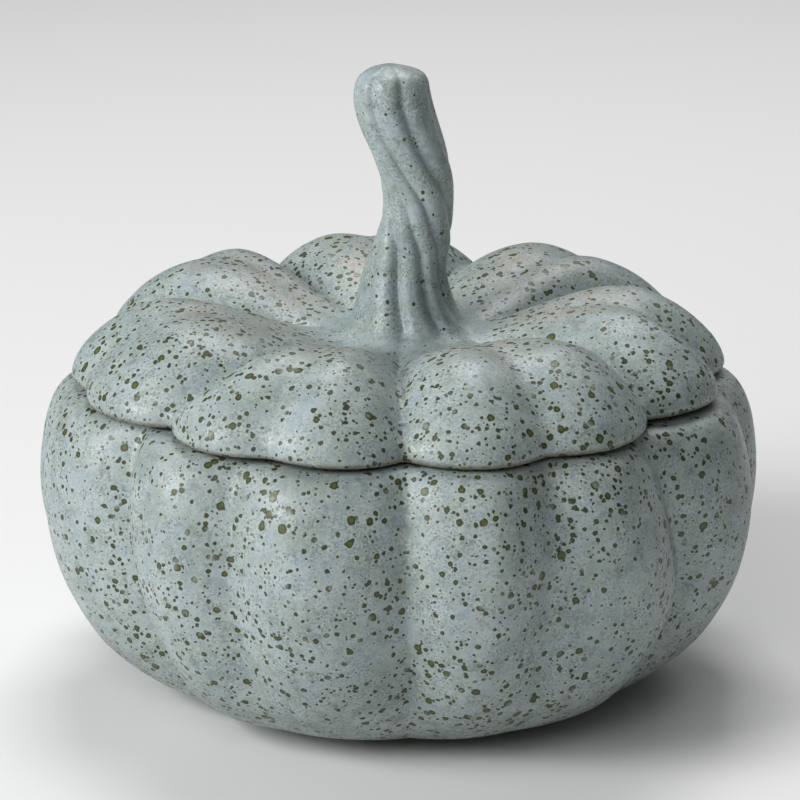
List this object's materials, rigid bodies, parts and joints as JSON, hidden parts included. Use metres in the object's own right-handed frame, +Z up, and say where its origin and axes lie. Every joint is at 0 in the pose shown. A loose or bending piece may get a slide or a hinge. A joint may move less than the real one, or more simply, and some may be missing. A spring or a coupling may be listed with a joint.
{
  "type": "lidded pumpkin jar",
  "caption": "Ceramic jar shaped as a squat ribbed pumpkin, with a domed scalloped lid lifted by a tall twisted stem.",
  "frame": {"origin": "centre of the foot ring's base, on the surface the jar stands on", "axes": "+Z up along the jar's upright axis, which the lid lifts and turns about; -Y towards the front, the side where a deep groove lies in the middle"},
  "size_m": [0.1728, 0.1714, 0.1505],
  "materials": {
    "bowl_glaze": "satin reactive glaze, grey-green with olive speckles",
    "lid_glaze": "satin reactive glaze, grey-green with olive speckles, thin and brown at the lip",
    "stem_glaze": "satin reactive glaze, grey-green with few speckles",
    "bare_clay": "matt unglazed stoneware",
    "flange_clay": "matt unglazed stoneware"
  },
  "bodies": {
    "bowl_body": {"bowl": "bowl_glaze", "foot_ring": "bare_clay"},
    "flange_body": {"locating_ring": "flange_clay"},
    "lid_body": {"lid": "lid_glaze", "stem_handle": "stem_glaze"}
  },
  "joints": [
    {"name": "lid_lift", "type": "slide", "parent": "bowl_body", "child": "flange_body", "axis": [0, 0, 1], "range_m": [0, 0.12]},
    {"name": "lid_turn", "type": "hinge", "parent": "flange_body", "child": "lid_body", "pos_m": [0, 0, 0.075], "axis": [0, 0, 1], "continuous": true}
  ]
}
